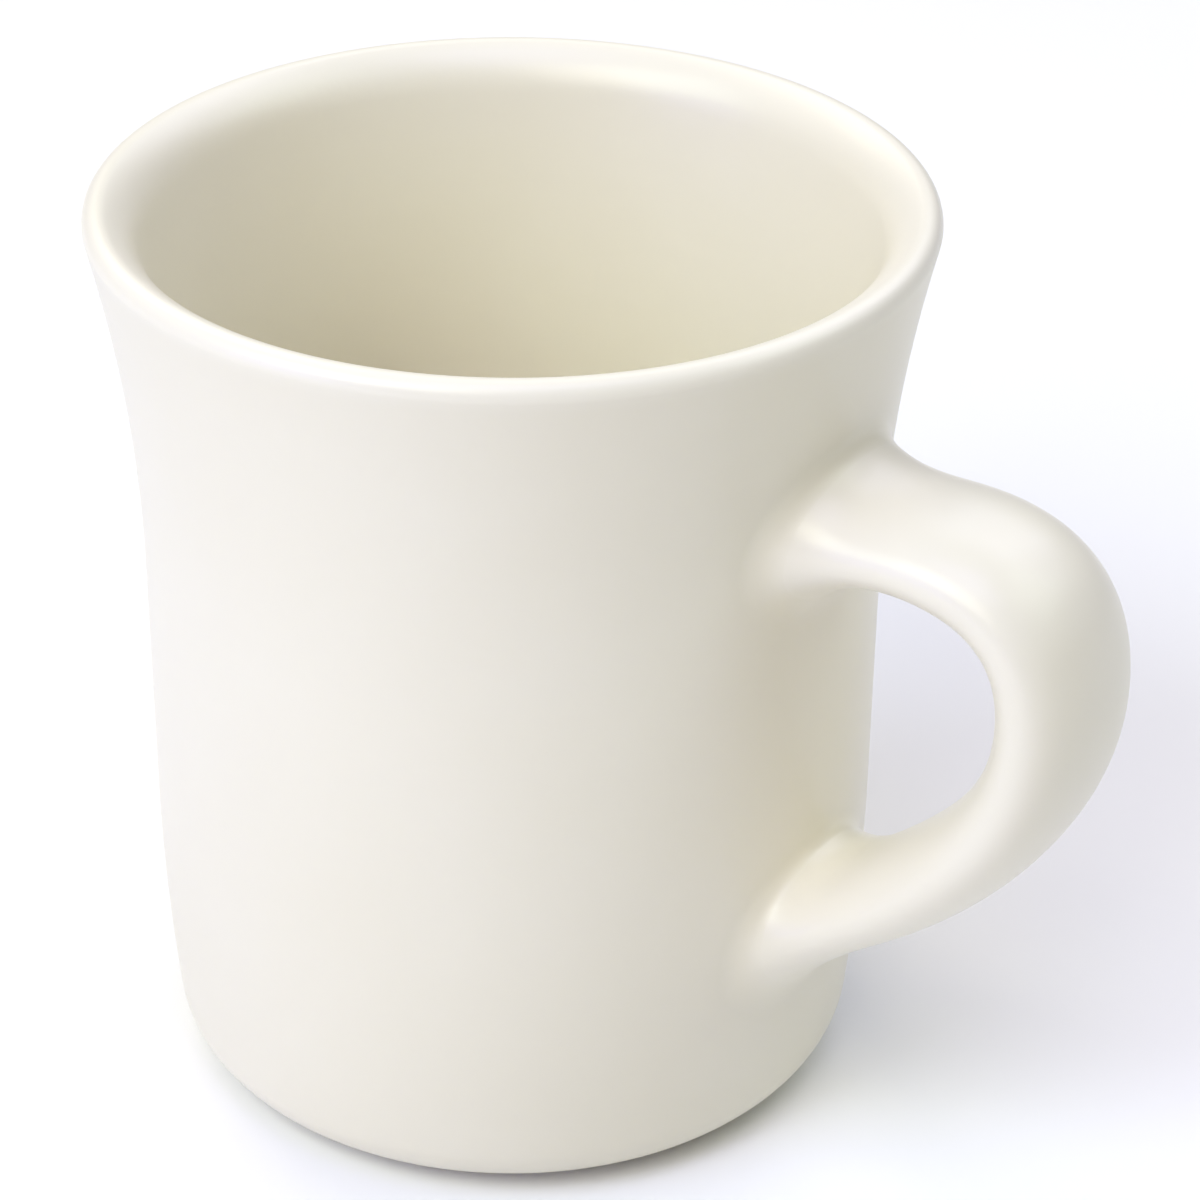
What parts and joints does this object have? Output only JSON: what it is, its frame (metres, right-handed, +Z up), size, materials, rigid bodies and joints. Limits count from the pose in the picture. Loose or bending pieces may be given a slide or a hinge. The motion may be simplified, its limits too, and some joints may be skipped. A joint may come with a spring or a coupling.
{
  "type": "ceramic mug",
  "caption": "Flared straight-sided ceramic mug with a rounded lip, a foot ring and a cast D-shaped handle joined on with slip.",
  "frame": {"origin": "centre of the foot ring, on the surface that the mug stands on, on the cup's axis", "axes": "+Z up along the cup's axis, +X from the axis out through the middle of the handle, +Y to the left of someone who looks along +X"},
  "size_m": [0.1098, 0.0836, 0.096],
  "materials": {
    "cream_glaze": "gloss",
    "joint_glaze": "gloss"
  },
  "bodies": {
    "root": {"cup": "cream_glaze", "handle": "cream_glaze", "upper_slip_joint": "joint_glaze", "lower_slip_joint": "joint_glaze"}
  },
  "joints": []
}
